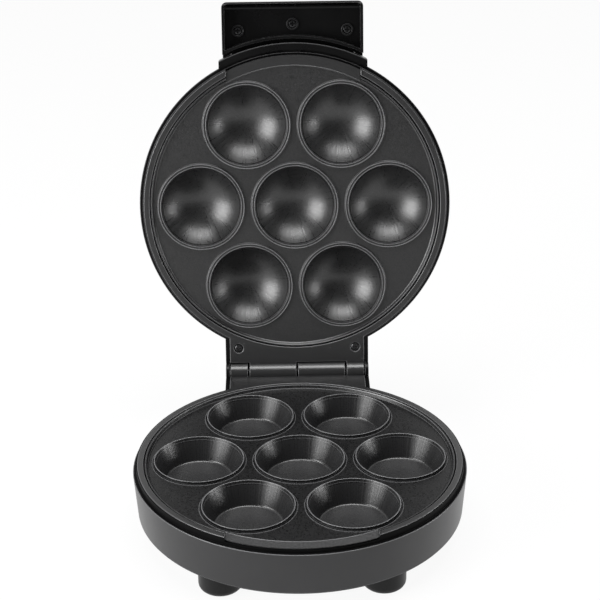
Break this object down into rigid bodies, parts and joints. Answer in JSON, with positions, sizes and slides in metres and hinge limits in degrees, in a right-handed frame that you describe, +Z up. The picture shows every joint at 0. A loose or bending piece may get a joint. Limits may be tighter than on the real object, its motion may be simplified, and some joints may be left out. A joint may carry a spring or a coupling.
{
  "type": "hinged round-bite maker",
  "caption": "Round hinged tabletop baking appliance, lid open on its stop: flat-bottomed cups in the base, matching shallow domes in the lid, short legs and a front handle.",
  "frame": {"origin": "on the base's upright axis, at the level of the foot pads' undersides", "axes": "+Z up, +Y from the front towards the hinge, +X to the right seen from the front"},
  "size_m": [0.199, 0.2842, 0.2759],
  "materials": {
    "drum_paint": "satin dark grey coating on a pressed steel drum",
    "lid_paint": "satin dark grey coating on pressed aluminium",
    "black_moulding": "gloss black moulding",
    "frame_moulding": "matte dark grey heat-proof moulding",
    "plate_coating": "matte dark grey non-stick coating on cast aluminium",
    "heater_tube": "dull steel sheath",
    "clamp_sheet": "plain pressed steel",
    "reflector_sheet": "bright thin sheet",
    "plain_screws": "zinc-plated steel",
    "black_screws": "black steel",
    "pin_steel": "drawn steel rod",
    "block_ceramic": "cream ceramic",
    "thermostat_case": "dark phenolic can",
    "fuse_sleeve": "white woven sleeve",
    "lead_rubber": "silicone insulation",
    "gland_rubber": "black rubber bush",
    "bottom_moulding": "black matte moulding",
    "pad_rubber": "grey-black rubber",
    "red_lens": "clear red lens",
    "green_lens": "clear green lens",
    "lamp_glass": "small glow lamps",
    "bracket_moulding": "pale heat-proof moulding"
  },
  "bodies": {
    "base": {"base_shell": "drum_paint", "base_collar": "black_moulding", "base_frame": "frame_moulding", "base_cooking_plate": "plate_coating", "base_plate_screws": "plain_screws", "base_hinge_screws": "plain_screws", "hinge_pin": "pin_steel", "base_heating_element": "heater_tube", "base_element_clamp": "clamp_sheet", "base_heat_reflector": "reflector_sheet", "base_clamp_screw": "plain_screws", "base_terminal_block": "block_ceramic", "thermostat": "thermostat_case", "thermal_fuse": "fuse_sleeve", "cord_gland": "gland_rubber", "bottom_cover": "bottom_moulding", "foot_pads": "pad_rubber", "bottom_cover_screws": "plain_screws", "thermostat_lead": "lead_rubber", "fuse_lead": "lead_rubber"},
    "lid": {"lid_cover": "lid_paint", "lid_collar": "black_moulding", "lid_frame": "frame_moulding", "lid_cooking_plate": "plate_coating", "lid_plate_screws": "plain_screws", "lid_hinge_screws": "black_screws", "lid_heating_element": "heater_tube", "lid_element_clamp": "clamp_sheet", "lid_heat_reflector": "reflector_sheet", "lid_clamp_screw": "plain_screws", "lid_terminal_block": "block_ceramic", "handle_tray": "black_moulding", "handle_cap": "black_moulding", "handle_screws": "black_screws", "power_lamp_lens": "red_lens", "ready_lamp_lens": "green_lens", "indicator_lamps": "lamp_glass", "lamp_bracket": "bracket_moulding", "lamp_lead": "lead_rubber"}
  },
  "joints": [
    {"name": "lid_hinge", "type": "hinge", "parent": "base", "child": "lid", "pos_m": [0, 0.1093, 0.04615], "axis": [-1, 0, 0], "range_deg": [-102.5, 0]}
  ]
}
